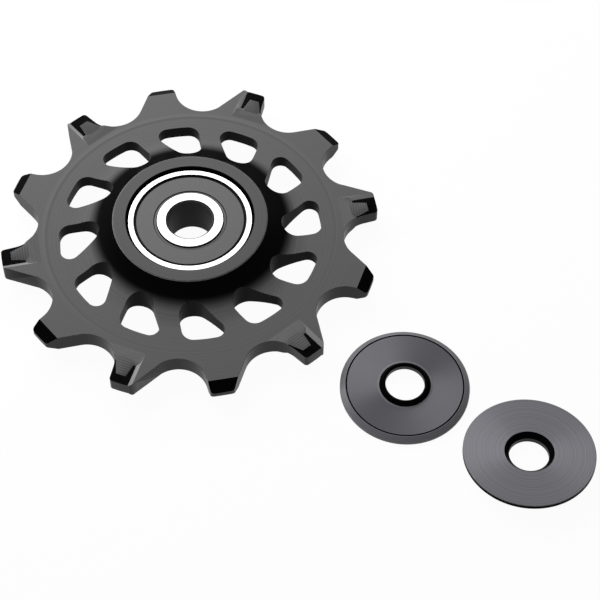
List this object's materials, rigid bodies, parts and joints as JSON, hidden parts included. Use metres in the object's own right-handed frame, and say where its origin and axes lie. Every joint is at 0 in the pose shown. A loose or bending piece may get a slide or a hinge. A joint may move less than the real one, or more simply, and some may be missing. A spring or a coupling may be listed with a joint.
{
  "type": "derailleur jockey wheel",
  "caption": "Black machined derailleur jockey wheel with alternating narrow and wide teeth, swirled lightening holes, a sealed ball bearing and two turned covers laid beside it.",
  "frame": {"origin": "middle of the bearing's bore, on the axle, at the bearing's mid-plane", "axes": "+Z along the axle, up from the face that the wheel lies on; -Y towards the viewer of the picture; the covers lie towards +X and -Y"},
  "size_m": [0.0777, 0.0661, 0.007],
  "materials": {
    "anodised": "satin black anodised",
    "bearing_steel": "ground",
    "ball_steel": "polished",
    "cage_steel": "pressed sheet",
    "seal_rubber": "matte moulded",
    "cover_aluminium": "turned and black anodised"
  },
  "bodies": {
    "axle_side": {"inner_ring": "bearing_steel", "cover_inner_side_up": "cover_aluminium", "cover_outer_side_up": "cover_aluminium"},
    "wheel": {"toothed_wheel": "anodised", "outer_ring": "bearing_steel", "seal_upper": "seal_rubber", "seal_lower": "seal_rubber"},
    "cage": {"cage_upper": "cage_steel", "cage_lower": "cage_steel", "cage_rivet_1": "cage_steel", "cage_rivet_2": "cage_steel", "cage_rivet_3": "cage_steel", "cage_rivet_4": "cage_steel", "cage_rivet_5": "cage_steel", "cage_rivet_6": "cage_steel"},
    "ball_1": {"ball_1": "ball_steel"},
    "ball_2": {"ball_2": "ball_steel"},
    "ball_3": {"ball_3": "ball_steel"},
    "ball_4": {"ball_4": "ball_steel"},
    "ball_5": {"ball_5": "ball_steel"},
    "ball_6": {"ball_6": "ball_steel"}
  },
  "joints": [
    {"name": "wheel_spin", "type": "hinge", "parent": "axle_side", "child": "wheel", "pos_m": [0, 0, 0], "axis": [0, 0, 1], "continuous": true},
    {"name": "cage_spin", "type": "hinge", "parent": "axle_side", "child": "cage", "pos_m": [0, 0, 0], "axis": [0, 0, 1], "continuous": true},
    {"name": "ball_1_roll", "type": "hinge", "parent": "cage", "child": "ball_1", "pos_m": [0.00575, 0, 0], "axis": [0, 0, 1], "continuous": true},
    {"name": "ball_2_roll", "type": "hinge", "parent": "cage", "child": "ball_2", "pos_m": [0.00287, 0.00498, 0], "axis": [0, 0, 1], "continuous": true},
    {"name": "ball_3_roll", "type": "hinge", "parent": "cage", "child": "ball_3", "pos_m": [-0.00287, 0.00498, 0], "axis": [0, 0, 1], "continuous": true},
    {"name": "ball_4_roll", "type": "hinge", "parent": "cage", "child": "ball_4", "pos_m": [-0.00575, 0, 0], "axis": [0, 0, 1], "continuous": true},
    {"name": "ball_5_roll", "type": "hinge", "parent": "cage", "child": "ball_5", "pos_m": [-0.00287, -0.00498, 0], "axis": [0, 0, 1], "continuous": true},
    {"name": "ball_6_roll", "type": "hinge", "parent": "cage", "child": "ball_6", "pos_m": [0.00287, -0.00498, 0], "axis": [0, 0, 1], "continuous": true}
  ],
  "couplings": [
    {"joint": "cage_spin", "follows": "wheel_spin", "ratio": 0.65217},
    {"joint": "ball_1_roll", "follows": "wheel_spin", "ratio": 1.4907},
    {"joint": "ball_2_roll", "follows": "wheel_spin", "ratio": 1.4907},
    {"joint": "ball_3_roll", "follows": "wheel_spin", "ratio": 1.4907},
    {"joint": "ball_4_roll", "follows": "wheel_spin", "ratio": 1.4907},
    {"joint": "ball_5_roll", "follows": "wheel_spin", "ratio": 1.4907},
    {"joint": "ball_6_roll", "follows": "wheel_spin", "ratio": 1.4907}
  ]
}
